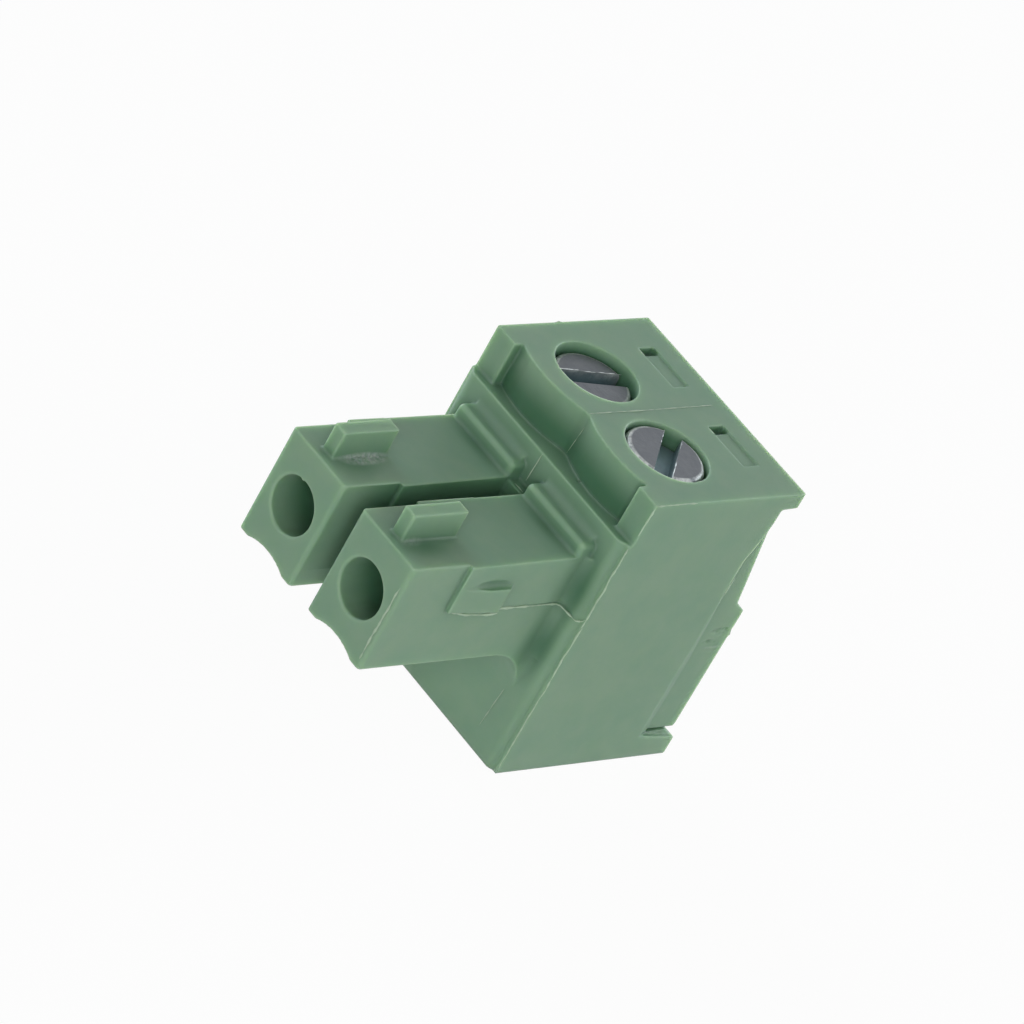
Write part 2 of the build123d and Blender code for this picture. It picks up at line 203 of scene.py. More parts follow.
runHigh = addNode(tree, "VectorMath", {0: below, 1: given["From High"]}, operation="DOT_PRODUCT")
run = calc(tree, "ADD", runLow.outputs["Value"], runHigh.outputs["Value"])
ramp = addNode(
    tree,
    "MapRange",
    {"Value": run, "From Max": given["Reach"], "To Max": given["Amount"]},
    interpolation_type="SMOOTHSTEP",
).outputs[0]
tree.links.new(calc(tree, "MULTIPLY", ramp, inside), put["Mask"])

# soft spot of painted shade, strongest at its centre
spotGroup, given, put = newGroup(
    "shadeSpot",
    [("Centre", "Vector", (0.0, 0.0, 0.0)), ("Radii", "Vector", (1.0, 1.0, 1.0)), ("Amount", "Float", 0.5)],
    [("Mask", "Float")],
)
tree = spotGroup
place = addNode(tree, "TexCoord", {}).outputs["Object"]
offset = addNode(tree, "VectorMath", {0: place, 1: given["Centre"]}, operation="SUBTRACT").outputs[0]
offset = addNode(tree, "VectorMath", {0: offset, 1: given["Radii"]}, operation="DIVIDE").outputs[0]
reached = addNode(tree, "VectorMath", {0: offset}, operation="LENGTH").outputs["Value"]
fade = addNode(
    tree,
    "MapRange",
    {"Value": reached, "From Min": 1.0, "From Max": 0.0, "To Max": given["Amount"]},
    interpolation_type="SMOOTHSTEP",
).outputs[0]
tree.links.new(fade, put["Mask"])

# fine parallel lines left by rolling, turning or drawing
lineGroup, given, put = newGroup(
    "toolLines",
    [("Stretch", "Vector", (1.0, 1.0, 1.0)), ("Scale", "Float", 4000.0), ("Amount", "Float", 1.0)],
    [("Mask", "Float")],
)
place = addNode(lineGroup, "TexCoord", {}).outputs["Object"]
stretched = addNode(lineGroup, "Mapping", {"Vector": place, "Scale": given["Stretch"]}).outputs[0]
lineSpan = (0.42, 0.66)
lines = spread(lineGroup, clouds(lineGroup, stretched, given["Scale"], 5.0, 0.7), lineSpan)
lineGroup.links.new(calc(lineGroup, "MULTIPLY", lines, given["Amount"]), put["Mask"])


# inputs of the mask groups that are given in millimetres
lengthInputs = ("Low", "High", "Reach", "Centre", "Radii")


def newMaterial(name, look):
    material = bpy.data.materials.new(name)
    material.use_nodes = True
    tree = material.node_tree
    shader = tree.nodes["Principled BSDF"]
    surface = addNode(tree, "Group", {}, node_tree=surfaceGroup)
    for label, value in look["surface"].items():
        surface.inputs[label].default_value = (*value, 1) if isinstance(value, tuple) else value
    # depth gathers the painted shade of the recesses and spots
    depth = None
    masks = [(recessShadeGroup, values) for values in look.get("recesses", [])]
    masks += [(spotGroup, values) for values in look.get("spots", [])]
    for group, values in masks:
        mask = addNode(tree, "Group", {}, node_tree=group)
        for label, value in values.items():
            plain = Vector(value) if isinstance(value, tuple) else value
            mask.inputs[label].default_value = plain * (mm if label in lengthInputs else 1)
        depth = calc(tree, "MAXIMUM", depth, mask.outputs[0]) if depth else mask.outputs[0]
    if depth:
        tree.links.new(depth, surface.inputs["Depth"])
    color, rough = surface.outputs["Color"], surface.outputs["Roughness"]
    if "lines" in look:
        marks = addNode(tree, "Group", {}, node_tree=lineGroup)
        for label, value in look["lines"].items():
            marks.inputs[label].default_value = value
        color = mixColor(tree, marks.outputs["Mask"], color, (*look["lineColor"], 1))
        rough = calc(tree, "ADD", rough, calc(tree, "MULTIPLY", marks.outputs["Mask"], look["lineRoughness"]))
    tree.links.new(color, shader.inputs["Base Color"])
    tree.links.new(rough, shader.inputs["Roughness"])
    tree.links.new(surface.outputs["Normal"], shader.inputs["Normal"])
    for label, value in look["shader"].items():
        shader.inputs[label].default_value = value
    return material


polyamide = newMaterial("greenPolyamide", {
    "spots": [
        # painted shadow beside the outer fingers, at the feet of the ribs and in front of the beads
        {"Centre": (3.62, -0.25, 7.1), "Radii": (0.7, 0.9, 2.1), "Amount": 0.9},
        {"Centre": (3.5, -0.3, 4.7), "Radii": (0.65, 0.9, 1.9), "Amount": 0.9},
        {"Centre": (-3.62, -0.25, 6.0), "Radii": (0.6, 0.8, 2.9), "Amount": 0.7},
        {"Centre": (2.3, -6.5, 8.29), "Radii": (0.85, 1.6, 0.5), "Amount": 0.8},
        {"Centre": (-1.46, -6.4, 8.29), "Radii": (0.75, 1.3, 0.5), "Amount": 0.6},
        {"Centre": (1.9, -0.95, 8.29), "Radii": (1.9, 0.6, 0.4), "Amount": 0.8},
        {"Centre": (-1.9, -0.95, 8.29), "Radii": (1.9, 0.6, 0.4), "Amount": 0.8},
    ],
    # painted shade, darker deeper into each recess
    "recesses": [
        # two sockets
        {
            "Low": (-2.9, -7.68, 5.3),
            "High": (-0.9, 0.0, 7.3),
            "From Low": (0, 1, 0),
            "Reach": 1.5,
            "Amount": 1.0,
        },
        {
            "Low": (0.9, -7.68, 5.3),
            "High": (2.9, 0.0, 7.3),
            "From Low": (0, 1, 0),
            "Reach": 1.5,
            "Amount": 1.0,
        },
        # screw wells
        {
            "Low": (-3.95, 1.0, 9.6),
            "High": (3.95, 5.1, 11.09),
            "From High": (0, 0, 1),
            "Reach": 0.4,
            "Amount": 0.9,
        },
        # scalloped front
        {
            "Low": (-3.34, -0.05, 9.5),
            "High": (3.34, 0.99, 11.05),
            "From High": (0, 0, 1),
            "Reach": 1.2,
            "Amount": 1.0,
        },
        # gap between the fingers
        {
            "Low": (-0.6, -7.65, 4.9),
            "High": (0.6, -0.5, 8.25),
            "From Low": (0, 1, 0),
            "Reach": 2.2,
            "Amount": 0.8,
        },
    ],
    "surface": {
        "Color": (0.228, 0.36, 0.252),
        "Shade": (0.19, 0.334, 0.236),
        # the pale edge colour is a painted highlight and the dark hollow colour is painted shade
        "Edge": (0.33, 0.48, 0.29),
        "Scuff": (0.4, 0.45, 0.43),
        "Hollow Painted Light And Shade": (0.06, 0.163, 0.09),
        "Hollow Painted Light And Shade Amount": 0.75,
        "Hollow Reach": 0.001,
        "Mottle Scale": 260.0,
        "Mottle Amount": 0.8,
        "Edge Amount": 0.17,
        "Grain Scale": 9000.0,
        "Grain Height": 0.0000016,
        "Roughness": 0.52,
        "Roughness Spread": 0.16,
    },
    "shader": {
        "Subsurface Weight": 0.85,
        "Subsurface Scale": 0.0009,
        "Subsurface Radius": (0.9, 1.0, 0.62),
        "IOR": 1.53,
        "Specular IOR Level": 0.32,
    },
})
thinPolyamide = newMaterial("thinGreenPolyamide", {
    "surface": {
        "Color": (0.4, 0.53, 0.4),
        "Shade": (0.3, 0.44, 0.31),
        "Edge": (0.4, 0.53, 0.38),
        "Mottle Scale": 1500.0,
        "Mottle Amount": 0.8,
        "Edge Amount": 0.5,
        "Grain Scale": 12000.0,
        "Grain Height": 0.000002,
        "Roughness": 0.5,
        "Roughness Spread": 0.1,
    },
    "shader": {
        "Subsurface Weight": 0.3,
        "Subsurface Scale": 0.0004,
        "Subsurface Radius": (0.7, 1.0, 0.6),
        "IOR": 1.53,
    },
})
zincSteel = newMaterial("zincPlatedSteel", {
    "surface": {
        "Color": (0.125, 0.137, 0.155),
        "Shade": (0.095, 0.107, 0.127),
        # the pale edge colour on the rim and slot edges is rubbed plating with a painted highlight
        "Edge": (0.75, 0.78, 0.78),
        # the lighter, bluer hollow colour is a painted reflection inside the slot
        "Hollow Painted Light And Shade": (0.2, 0.32, 0.36),
        "Hollow Painted Light And Shade Amount": 0.9,
        "Hollow Reach": 0.0007,
        "Mottle Scale": 900.0,
        "Mottle Amount": 0.6,
        "Edge Amount": 0.95,
        "Grain Scale": 14000.0,
        "Grain Height": 0.000005,
        "Roughness": 0.4,
        "Roughness Spread": 0.25,
    },
    "lines": {"Stretch": (1.0, 1.0, 9.0), "Scale": 3200.0, "Amount": 0.25},
    "lineColor": (0.17, 0.18, 0.2),
    "lineRoughness": 0.14,
    "shader": {"Metallic": 0.5},
})
# pale zinc of the slot burrs: rubbed metal with a painted highlight
wornHighlitZinc = newMaterial("wornHighlitZinc", {
    "surface": {
        "Color": (0.62, 0.66, 0.67),
        "Shade": (0.34, 0.38, 0.4),
        "Edge": (0.75, 0.78, 0.78),
        "Mottle Scale": 3800.0,
        "Mottle Amount": 0.9,
        "Grain Scale": 14000.0,
        "Grain Height": 0.000003,
        "Roughness": 0.4,
        "Roughness Spread": 0.2,
    },
    "shader": {"Metallic": 0.6},
})
nickelSteel = newMaterial("nickelPlatedSteel", {
    "surface": {
        "Color": (0.5, 0.485, 0.45),
        "Shade": (0.4, 0.385, 0.36),
        "Edge": (0.72, 0.71, 0.68),
        "Mottle Scale": 700.0,
        "Mottle Amount": 0.7,
        "Edge Amount": 0.8,
        "Grain Scale": 11000.0,
        "Grain Height": 0.000002,
        "Roughness": 0.3,
        "Roughness Spread": 0.2,
    },
    "lines": {"Stretch": (1.0, 14.0, 14.0), "Scale": 700.0, "Amount": 0.5},
    "lineColor": (0.36, 0.35, 0.33),
    "lineRoughness": 0.12,
    "shader": {"Metallic": 1.0},
})
mattTin = newMaterial("mattTin", {
    "surface": {
        "Color": (0.56, 0.56, 0.55),
        "Shade": (0.46, 0.46, 0.46),
        "Edge": (0.7, 0.7, 0.69),
        "Mottle Scale": 1200.0,
        "Mottle Amount": 0.6,
        "Edge Amount": 0.6,
        "Grain Scale": 16000.0,
        "Grain Height": 0.000002,
        "Roughness": 0.45,
        "Roughness Spread": 0.2,
    },
    "lines": {"Stretch": (12.0, 1.0, 12.0), "Scale": 900.0, "Amount": 0.35},
    "lineColor": (0.42, 0.42, 0.42),
    "lineRoughness": 0.1,
    "shader": {"Metallic": 1.0},
})
nodeMaterials = {"housing": polyamide, "screw": zincSteel, "cage": nickelSteel, "contact": mattTin}
for name, node in nodes.items():
    node.data.materials.clear()
    node.data.materials.append(nodeMaterials[name.split("_")[0]])
print("materials ready")


# mesh helpers

def newPiece(name, mesh, material, body):
    mesh.materials.clear()
    mesh.materials.append(material)
    piece = bpy.data.objects.new(name, mesh)
    scene.collection.objects.link(piece)
    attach(piece, body)
    return piece


# the CAD's own form with soft edges, as a mould or a die leaves it
def softened(nodeName, pieceName, look):
    mesh = nodes[nodeName].data.copy()
    addSolids(mesh, look.get("solids", []))
    rough = bpy.data.objects.new(pieceName + "Rough", mesh)
    scene.collection.objects.link(rough)
    cells = rough.modifiers.new("cells", "REMESH")
    cells.mode = "VOXEL"
    cells.voxel_size = look["cell"] * mm
    soft = rough.modifiers.new("soft", "SMOOTH")
    soft.factor = 0.5
    soft.iterations = look["softSteps"]
    mesh = evaluated(rough)
    shapeMarks(mesh, look.get("marks", []))
    dense = bpy.data.objects.new(pieceName + "Dense", mesh)
    scene.collection.objects.link(dense)
    fewer = dense.modifiers.new("fewer", "DECIMATE")
    fewer.ratio = min(1.0, look["triangles"] / (2 * len(mesh.polygons)))
    done = evaluated(dense)
    done.name = pieceName
    done.shade_smooth()
    markBands(done, look["bandAngle"])
    markScuffs(done, look.get("marks", []))
    return done


# closed solids, each a list of loops of points in millimetres
def addSolids(mesh, solids):
    bm = bmesh.new()
    bm.from_mesh(mesh)
    for loops in solids:
        rings = [[bm.verts.new(Vector(point) * mm) for point in loop] for loop in loops]
        faces = [bm.faces.new(rings[0]), bm.faces.new(rings[-1][::-1])]
        for lower, upper in zip(rings, rings[1:]):
            for i in range(len(lower)):
                j = (i + 1) % len(lower)
                faces.append(bm.faces.new((lower[j], lower[i], upper[i], upper[j])))
        bmesh.ops.recalc_face_normals(bm, faces=faces)
    bm.to_mesh(mesh)
    bm.free()


def evaluated(thing):
    bpy.context.view_layer.update()
    mesh = bpy.data.meshes.new_from_object(thing.evaluated_get(bpy.context.evaluated_depsgraph_get()))
    bpy.data.objects.remove(thing)
    return mesh


ragSize = 0.13                  # grain of a ragged mark
markFalloff = 1.5


# dents and bumps along the surface; ragged ones are uneven
def shapeMarks(mesh, marks):
    count = len(mesh.vertices)
    places = np.empty(count * 3, np.float32)
    mesh.vertices.foreach_get("co", places)
    places = places.reshape(-1, 3)
    outward = np.empty(count * 3, np.float32)
    mesh.vertex_normals.foreach_get("vector", outward)
    outward = outward.reshape(-1, 3)
    for mark in marks:
        reach = (places - np.array(mark["centre"]) * mm) / (np.array(mark["radii"]) * mm)
        near = np.flatnonzero((reach ** 2).sum(1) < 1.0)
        for i in near:
            fade = (1 - (reach[i] ** 2).sum()) ** markFalloff
            grit = 1 + mark.get("ragged", 0) * noise.noise(Vector(places[i]) / (ragSize * mm))
            places[i] += outward[i] * mark["height"] * mm * fade * grit
    mesh.vertices.foreach_set("co", places.ravel())
    mesh.update()


# edgeBand is 1 on points that stand out between their neighbours by the angle
def markBands(mesh, angle):
    hollowWeight = 1.5              # a hollow side counts against it
    full = math.sin(math.radians(angle))
    bm = bmesh.new()
    bm.from_mesh(mesh)
    bm.normal_update()
    band = bm.verts.layers.float.new("edgeBand")
    for vert in bm.verts:
        ways = [(vert.co - edge.other_vert(vert).co).normalized() for edge in vert.link_edges]
        bends = [way.dot(vert.normal) for way in ways]
        standing = max(bends, default=0) + hollowWeight * min(bends, default=0)
        vert[band] = min(1.0, max(0.0, standing / full))
    bm.to_mesh(mesh)
    bm.free()


# scuff is 1 where a mark has rubbed the surface pale
def markScuffs(mesh, marks):
    scuff = mesh.attributes.new("scuff", "FLOAT", "POINT")
    pale = [mark for mark in marks if "scuff" in mark]
    for vert, value in zip(mesh.vertices, scuff.data):
        for mark in pale:
            off = [(a / mm - b) / c for a, b, c in zip(vert.co, mark["centre"], mark["radii"])]
            value.value += mark["scuff"] * max(0.0, 1 - sum(k * k for k in off))


def evenNormals(piece):
    flat = piece.modifiers.new("evenNormals", "WEIGHTED_NORMAL")
    flat.weight = 80
    flat.keep_sharp = True


# moulded housing; the roots under the fingers are rounder than the CAD's
rootLook = {
    "radius": 1.7,
    "steps": 18,
    "fingerFoot": 4.25,
    "wall": -0.14,
    "fingers": [(-3.315, -0.495), (0.495, 3.315)],
    "lap": 0.3,                     # how far the solids reach up into the fingers
    "wallLap": 0.2,                 # and back behind the front wall
    "sideHollow": {"x": 3.315, "radius": 0.35, "lap": 0.15, "topLap": 0.1, "rear": 0.1},
    # from the flat side down to the rear strip, with its length at four heights
    "ramp": {
        "start": 5.9,
        "outer": 4.314,
        "inner": 4.133,
        "back": 3.953,
        "lengths": [(0.98, 0.45), (4.0, 0.45), (5.4, 0.35), (6.9, 0.02)],
    },
    # lowers the slot at the strip's foot
    "slotFill": {
        "outline": [(4.133, 5.99), (4.133, 7.57), (3.7, 7.57), (3.7, 5.99)],
        "heights": (1.05, 1.45),
    },
    # carries the sockets on to just before the tines, in two halves that lap
    "sleeve": {
        "poles": (-1.905, 1.905),
        "z": 6.31,
        "inner": 0.95,
        "outer": 1.18,
        "start": -6.25,
        "end": -5.72,
        "steps": 25,
        "turn": 190,
    },
}


def rootSolids():
    look = rootLook
    radius, foot, wall, lap = look["radius"], look["fingerFoot"], look["wall"], look["lap"]
    behind = look["wallLap"]
    turns = [math.radians(90 * step / look["steps"]) for step in range(look["steps"] + 1)]
    middle = (wall - radius, foot - radius)
    arc = [(middle[0] + radius * math.sin(turn), middle[1] + radius * math.cos(turn)) for turn in turns]
    outline = arc + [(behind, middle[1]), (behind, foot + lap), (middle[0], foot + lap)]
    solids = [[[(x, y, z) for y, z in outline] for x in ends] for ends in look["fingers"]]
    # the hollow beside each outer finger runs out down the root, clear of the arc's ends
    side = look["sideHollow"]
    for sign in (-1, 1):
        loops = []
        for y, z in [(middle[0], foot + side["topLap"])] + arc[3:-2]:
            hollow = min(side["radius"], wall - y)
            outer, inner = side["x"] + hollow, side["x"] - side["lap"]
            loop = [(sign * inner, side["rear"], z), (sign * outer, side["rear"], z)]
            for turn in turns[::3]:
                x = outer - hollow * math.sin(turn)
                loop.append((sign * x, wall - hollow + hollow * math.cos(turn), z))
            loops.append(loop + [(sign * inner, wall - hollow, z)])
        solids.append(loops)
    return solids


def stripSolids():
    ramp, fill = rootLook["ramp"], rootLook["slotFill"]
    start, outer, inner, back = ramp["start"], ramp["outer"], ramp["inner"], ramp["back"]
    solids = []
    for sign in (-1, 1):
        loops = []
        for z, length in ramp["lengths"]:
            outline = [(outer, start), (inner, start + length), (back, start + length), (back, start)]
            loops.append([(sign * x, y, z) for x, y in outline])
        solids.append(loops)
        solids.append([[(sign * x, y, z) for x, y in fill["outline"]] for z in fill["heights"]])
    return solids


def sleeveSolids():
    tube = rootLook["sleeve"]
    corners = [
        (tube["inner"], tube["start"]),
        (tube["outer"], tube["start"]),
        (tube["outer"], tube["end"]),
        (tube["inner"], tube["end"]),
    ]
    solids = []
    for pole in tube["poles"]:
        for first in (0, 180):
            loops = []
            for step in range(tube["steps"] + 1):
                turn = math.radians(first + tube["turn"] * step / tube["steps"])
                right, up = math.cos(turn), math.sin(turn)
                loops.append([(pole + size * right, y, tube["z"] + size * up) for size, y in corners])
            solids.append(loops)
    return solids


housingLook = {
    "cell": 0.042,
    "softSteps": 2,
    "triangles": 185000,
    "bandAngle": 16,
    "solids": rootSolids() + stripSolids() + sleeveSolids(),
    "marks": [
        # rubbed patches at the feet of the ribs
        {
            "centre": (-1.7, -6.0, 8.29),
            "radii": (0.38, 1.1, 0.2),
            "height": 0.05,
            "ragged": 1.2,
            "scuff": 1.0,
        },
        {
            "centre": (2.12, -6.9, 8.29),
            "radii": (0.2, 0.5, 0.2),
            "height": 0.02,
            "ragged": 1.0,
            "scuff": 0.3,
        },
        # ejector dot on the ledge
        {"centre": (1.256, 0.255, 9.47), "radii": (0.09, 0.09, 0.09), "height": -0.09},
        # sink mark over the latch
        {"centre": (3.5, -3.98, 7.52), "radii": (0.25, 0.75, 0.19), "height": -0.09},
        # dents in the rear strip
        {"centre": (4.135, 7.1, 5.2), "radii": (0.12, 0.6, 0.17), "height": -0.05, "ragged": 1.3},
        {"centre": (4.135, 6.8, 4.76), "radii": (0.12, 0.4, 0.13), "height": -0.05, "ragged": 1.3},
        {
            "centre": (4.135, 7.1, 4.52),
            "radii": (0.12, 0.55, 0.08),
            "height": 0.03,
            "ragged": 1.0,
            "scuff": 0.3,
        },
        # nub on a socket's rim
        {"centre": (-2.02, -7.685, 7.24), "radii": (0.1, 0.2, 0.1), "height": 0.05, "ragged": 0.5},
    ],
}
housingMesh = softened("housing", "housingShell", housingLook)
housing = newPiece("housingShell", housingMesh, polyamide, "plug")
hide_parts("housing")
evenNormals(housing)
print("housing:", len(housing.data.polygons), "faces")

# clamp cages and contacts, folded and stamped
stampedLook = {
    "cell": 0.045,
    "softSteps": 2,
    "triangles": 24000,
    "bandAngle": 14,
}
for number in (1, 2):
    for kind, body, material, slot in (
        ("cage", f"cage_{number}", nickelSteel, "nickel_steel"),
        ("contact", "plug", mattTin, "tinned_copper"),
    ):
        mesh = softened(f"{kind}_{number}", f"{kind}Sheet_{number}", stampedLook)
        piece = newPiece(f"{kind}Sheet_{number}", mesh, material, body)
        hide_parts(f"{kind}_{number}")
        evenNormals(piece)
print("cages and contacts ready")

# clamp screws: turned head with a milled slot, rolled thread
screwLook = {
    "steps": 96,
    "threadPitch": 0.4,
    "threadDepth": 0.13,
    "threadRows": 8,                        # rings in each turn of the thread
    "threadStart": 0.02,                    # above the tip
    "threadEnd": 0.15,                      # below the head
    "runIn": 0.25,
    "runOut": 0.2,
    "leastEase": 0.02,
    "shankRadius": 0.95,
    "tipInset": 0.2,
    "tipShare": 0.8,                        # of the shank's radius
    "headFoot": 9.58,
    "headBevel": 0.06,
    "headRound": 0.2,
    "roundSteps": 5,
    "slotWidth": 0.62,
    "slotDepth": 0.6,
    "slotTurn": {1: 79, 2: 132},
    "slotShift": {1: 0.07, 2: -0.07},       # off the axis, to the left of the slot's direction
    "cutterLength": 4,
    "burr": 0.045,
    "burrAngle": 50,
    # rubbed band with a painted highlight: from this depth below the top, down to this one at the rim
    "wornHighlitTop": 0.004,
    "wornHighlitRim": 0.15,
    "rimMargin": 0.01,
    "wornHighlitBurr": 0.9,                      # share of the burr, beside the slot
}


def screwMesh(number):
    look = screwLook
    low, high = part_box(f"screw_{number}")
    x, y = (low.x + high.x) / 2, (low.y + high.y) / 2
    headRadius = (high.x - low.x) / 2
    shank, rim, inset = look["shankRadius"] * mm, look["headRound"] * mm, look["tipInset"] * mm
    depth, bevel = look["threadDepth"] * mm, look["headBevel"] * mm
    pitch = look["threadPitch"] * mm
    headFoot = look["headFoot"] * mm
    threadFoot = low.z + look["threadStart"] * mm
    threadTop = headFoot - look["threadEnd"] * mm
    rows = int((threadTop - low.z) / pitch * look["threadRows"])
    rings = [(low.z, shank - inset, 0)]     # height, radius, thread depth
    for row in range(rows + 1):
        z = threadFoot + (threadTop - threadFoot) * row / rows
        deepening = (z - low.z) / (look["runIn"] * mm)
        fading = (threadTop - z) / (look["runOut"] * mm) + look["leastEase"]
        widening = look["tipShare"] + (1 - look["tipShare"]) * (z - low.z) / inset
        rings.append((z, shank * min(1.0, widening), depth * min(1.0, deepening, fading)))
    rings.append((headFoot, shank - depth / 2, 0))
    rings.append((headFoot, headRadius - bevel, 0))
    rings.append((headFoot + bevel, headRadius, 0))
    for step in range(look["roundSteps"] + 1):
        turn = math.radians(90 * step / look["roundSteps"])
        rings.append((high.z - rim + rim * math.sin(turn), headRadius - rim + rim * math.cos(turn), 0))
    bm = bmesh.new()
    steps = look["steps"]
    loops = []
    for z, radius, depth in rings:
        loop = []
        for step in range(steps):
            turn = 2 * math.pi * step / steps
            phase = (z / pitch - step / steps) % 1.0
            size = radius - depth * abs(2 * phase - 1)
            loop.append(bm.verts.new((x + size * math.cos(turn), y + size * math.sin(turn), z)))
        loops.append(loop)
    for lower, upper in zip(loops, loops[1:]):
        for step in range(steps):
            after = (step + 1) % steps
            bm.faces.new((lower[step], lower[after], upper[after], upper[step]))
    bm.faces.new(list(reversed(loops[0])))
    bm.faces.new(loops[-1])
    mesh = bpy.data.meshes.new(f"screwTurned_{number}")
    bm.to_mesh(mesh)
    bm.free()
    turned = bpy.data.objects.new("turned", mesh)
    cutterMesh = bpy.data.meshes.new("slotCutter")
    cutter = bpy.data.objects.new("slotCutter", cutterMesh)
    bm = bmesh.new()
    bmesh.ops.create_cube(bm, size=1.0)
    cutterSize = Vector((look["cutterLength"], look["slotWidth"], 2 * look["slotDepth"])) * mm
    bmesh.ops.scale(bm, verts=bm.verts, vec=cutterSize)
    bm.to_mesh(cutterMesh)
    bm.free()
    turn = math.radians(look["slotTurn"][number])
    shift = look["slotShift"][number] * mm
    cutter.location = (x - shift * math.sin(turn), y + shift * math.cos(turn), high.z)
    cutter.rotation_euler.z = turn
    for thing in (turned, cutter):
        scene.collection.objects.link(thing)
    slot = turned.modifiers.new("slot", "BOOLEAN")
    slot.operation = "DIFFERENCE"
    slot.solver = "EXACT"
    slot.object = cutter
    edges = turned.modifiers.new("burrs", "BEVEL")
    edges.width = look["burr"] * mm
    edges.segments = 2
    edges.limit_method = "ANGLE"
    edges.angle_limit = math.radians(look["burrAngle"])
    edges.use_clamp_overlap = True
    done = evaluated(turned)
    bpy.data.objects.remove(cutter)
    done.name = f"screwTurned_{number}"
    done.shade_smooth()
    # bright on the rim and the slot's two edges: rubbed plating with a painted highlight
    band = done.attributes.new("edgeBand", "FLOAT", "POINT")
    for vert, value in zip(done.vertices, band.data):
        drop = (high.z - vert.co.z) / mm
        atRim = math.hypot(vert.co.x - x, vert.co.y - y) > headRadius - rim - look["rimMargin"] * mm
        reach = look["wornHighlitRim"] if atRim else look["burr"] * look["wornHighlitBurr"]
        value.value = 1.0 if look["wornHighlitTop"] < drop < reach else 0.0
    return done


for number in (1, 2):
    piece = newPiece(f"screwTurned_{number}", screwMesh(number), zincSteel, f"screw_{number}")
    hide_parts(f"screw_{number}")
    evenNormals(piece)

# thin flash left where the mould halves met, in the shared frame
flashLook = {
    "step": 0.05,
    "sides": 8,
    "wanderSize": 0.5,
    "lumpSize": 0.22,
    "lumps": (0.75, 0.9),           # share of the radius, and how far lumps change it
    "taperSteps": 4,
    "tipStep": 0.3,
    "leastShare": 0.15,
    "lines": [
        # points, radius, wander
        # under the latch and along the outer panel, over the hollow to the corner
        (
            [
                (3.45, -5.25, 6.55), (3.46, -5.12, 6.48), (3.48, -4.54, 6.37),
                (3.55, -3.63, 6.35), (3.58, -3.25, 6.4), (3.43, -3.11, 6.46),
                (3.42, -2.12, 6.42), (3.4, -1.02, 6.39), (3.4, -0.52, 6.38),
                (3.44, -0.34, 6.33), (3.56, -0.26, 6.28), (3.85, -0.2, 6.26),
                (4.1, -0.17, 6.27), (4.24, -0.06, 6.35), (4.29, 0.0, 6.45),
            ],
            0.042,
            0.012,
        ),
        # front edge of the flat side
        ([(4.31, 0.0, 0.25), (4.31, 0.0, 2.0), (4.312, 0.01, 4.0)], 0.02, 0.03),
        ([(4.315, 0.0, 4.0), (4.315, 0.0, 5.0), (4.315, 0.02, 6.15)], 0.03, 0.03),
        ([(4.315, -0.02, 6.15), (4.315, 0.0, 6.4), (4.315, 0.0, 9.4)], 0.034, 0.025),
        # round the top corner
        ([(4.31, 0.1, 9.9), (4.315, 0.12, 10.4), (4.315, 0.15, 11.02)], 0.04, 0.02),
        ([(4.315, 0.17, 11.06), (4.315, 0.6, 11.09), (4.31, 2.0, 11.095)], 0.028, 0.015),
        # across the top and down a valley of the front
        ([(0.0, 0.72, 11.1), (0.02, 3.0, 11.1), (-0.01, 6.3, 11.1)], 0.023, 0.012),
        ([(0.05, 0.655, 9.55), (0.12, 0.655, 10.3), (0.19, 0.655, 11.05)], 0.011, 0.004),
        ([(0.16, 0.665, 9.55), (0.22, 0.665, 10.3), (0.3, 0.67, 11.05)], 0.008, 0.004),
        # finger front and wall
        (
            [
                (3.18, -7.685, 7.46), (3.17, -7.685, 7.02), (3.19, -7.685, 6.6),
                (3.15, -7.685, 5.5), (3.17, -7.685, 4.5),
            ],
            0.032,
            0.03,
        ),
        ([(-0.1, -0.23, 9.44), (-0.14, -0.22, 8.3)], 0.02, 0.008),
        ([(3.07, -0.145, 2.5), (3.0, -0.13, 1.8), (2.93, -0.115, 0.8)], 0.018, 0.01),
        # nubs on rear edges and between the fingers
        ([(-4.3, 2.7, 11.08), (-4.3, 2.84, 11.11), (-4.3, 2.98, 11.08)], 0.06, 0.0),
        ([(4.12, 7.59, 4.85), (4.12, 7.61, 5.0), (4.12, 7.59, 5.15)], 0.04, 0.01),
        ([(-0.2, -0.57, 8.16), (0.0, -0.56, 8.17), (0.25, -0.56, 8.16)], 0.035, 0.02),
        # rear strip
        ([(4.31, 5.91, 7.7), (4.305, 5.915, 7.2), (4.305, 5.91, 6.8)], 0.026, 0.02),
    ],
}


